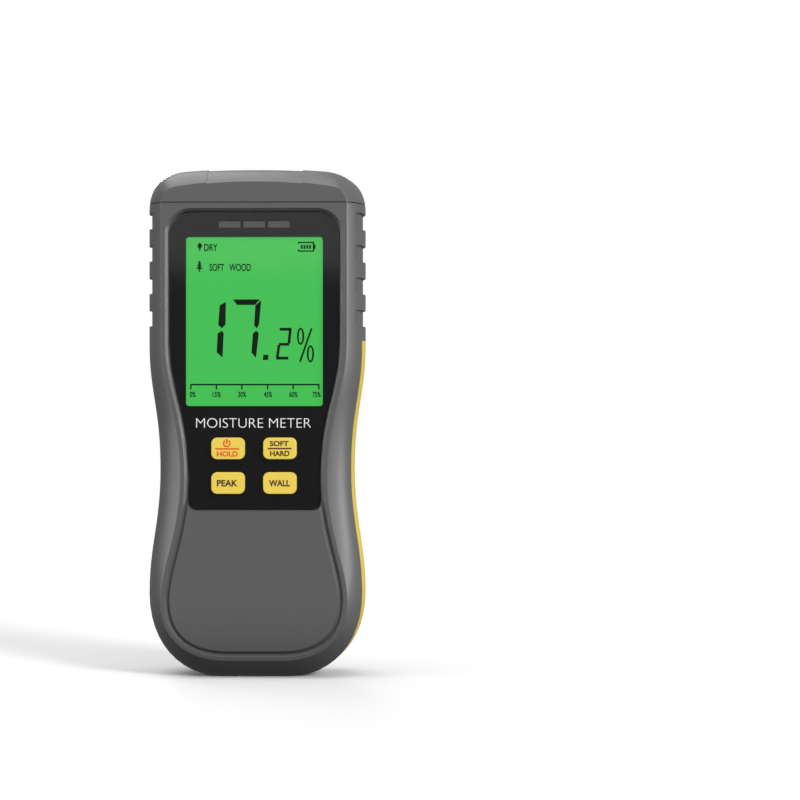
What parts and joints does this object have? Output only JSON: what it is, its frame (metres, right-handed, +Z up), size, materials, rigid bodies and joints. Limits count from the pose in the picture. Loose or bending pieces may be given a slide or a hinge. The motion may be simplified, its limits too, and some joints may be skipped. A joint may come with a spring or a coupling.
{
  "type": "moisture meter",
  "caption": "Hand-held pinless moisture meter: hourglass case with a display, yellow keys and side band, a square sensor plate on the back and a hinged battery door.",
  "frame": {"origin": "middle of the base, on the plane where the two shells meet", "axes": "+Z up along the length, the display faces -Y, the sensor plate faces +Y, +X to the right as the display is read"},
  "size_m": [0.0714, 0.032, 0.1652],
  "materials": {
    "case_plastic": "fine moulded texture",
    "cap_plastic": "satin",
    "band_rubber": "satin soft-touch",
    "clear_acrylic": "polished clear",
    "black_ink": "gloss print",
    "light_guide": "frosted",
    "lcd_green": "lit display",
    "white_plastic": "plain",
    "pink_rubber": "layered",
    "key_rubber": "satin",
    "carbon_rubber": "matte",
    "silicone": "matte",
    "board_green": "solder mask",
    "chip_black": "moulded",
    "can_aluminium": "drawn can",
    "can_steel": "tin plated",
    "screw_steel": "zinc plated",
    "sensor_plastic": "satin",
    "copper": "rolled foil",
    "gold_brass": "gold plated",
    "battery_jacket": "satin print",
    "black_plastic": "moulded",
    "red_insulation": "smooth",
    "black_insulation": "smooth",
    "foam": "open cell",
    "pad_rubber": "matte"
  },
  "bodies": {
    "case": {"front_case": "case_plastic", "rear_case": "case_plastic", "top_cap": "cap_plastic", "side_band": "band_rubber", "display_lens": "clear_acrylic", "lens_mask": "black_ink", "light_bars": "light_guide", "lcd_glass": "lcd_green", "lcd_backlight": "light_guide", "lcd_frame": "white_plastic", "contact_strip": "pink_rubber", "keypad_sheet": "silicone", "main_board": "board_green", "controller_chip": "chip_black", "small_chips": "chip_black", "capacitors": "can_aluminium", "crystal": "can_steel", "buzzer": "chip_black", "indicator_leds": "white_plastic", "board_screws": "screw_steel", "shield_can": "can_steel", "sensor_window": "sensor_plastic", "sensor_electrode": "copper", "contact_pin": "gold_brass", "battery_cell": "battery_jacket", "battery_terminals": "screw_steel", "battery_snap": "black_plastic", "red_lead": "red_insulation", "black_lead": "black_insulation", "upper_pad_left": "pad_rubber", "upper_pad_right": "pad_rubber", "lower_pad_left": "pad_rubber", "lower_pad_right": "pad_rubber", "case_screws": "screw_steel"},
    "power_button": {"power_key": "key_rubber", "power_pill": "carbon_rubber"},
    "wood_button": {"wood_key": "key_rubber", "wood_pill": "carbon_rubber"},
    "peak_button": {"peak_key": "key_rubber", "peak_pill": "carbon_rubber"},
    "building_button": {"building_key": "key_rubber", "building_pill": "carbon_rubber"},
    "door": {"battery_door": "case_plastic", "door_foam": "foam"},
    "latch": {"door_latch": "case_plastic"}
  },
  "joints": [
    {"name": "power_press", "type": "slide", "parent": "case", "child": "power_button", "axis": [0, 1, 0], "range_m": [0, 0.0008], "stiffness_N_per_m": 1500},
    {"name": "wood_press", "type": "slide", "parent": "case", "child": "wood_button", "axis": [0, 1, 0], "range_m": [0, 0.0008], "stiffness_N_per_m": 1500},
    {"name": "peak_press", "type": "slide", "parent": "case", "child": "peak_button", "axis": [0, 1, 0], "range_m": [0, 0.0008], "stiffness_N_per_m": 1500},
    {"name": "building_press", "type": "slide", "parent": "case", "child": "building_button", "axis": [0, 1, 0], "range_m": [0, 0.0008], "stiffness_N_per_m": 1500},
    {"name": "door_swing", "type": "hinge", "parent": "case", "child": "door", "pos_m": [0, 0.0149, 0.0823], "axis": [1, 0, 0], "range_deg": [0, 95]},
    {"name": "latch_squeeze", "type": "hinge", "parent": "door", "child": "latch", "pos_m": [0, 0.01025, 0.01885], "axis": [1, 0, 0], "range_deg": [0, 10], "stiffness_Nm_per_rad": 0.17}
  ]
}
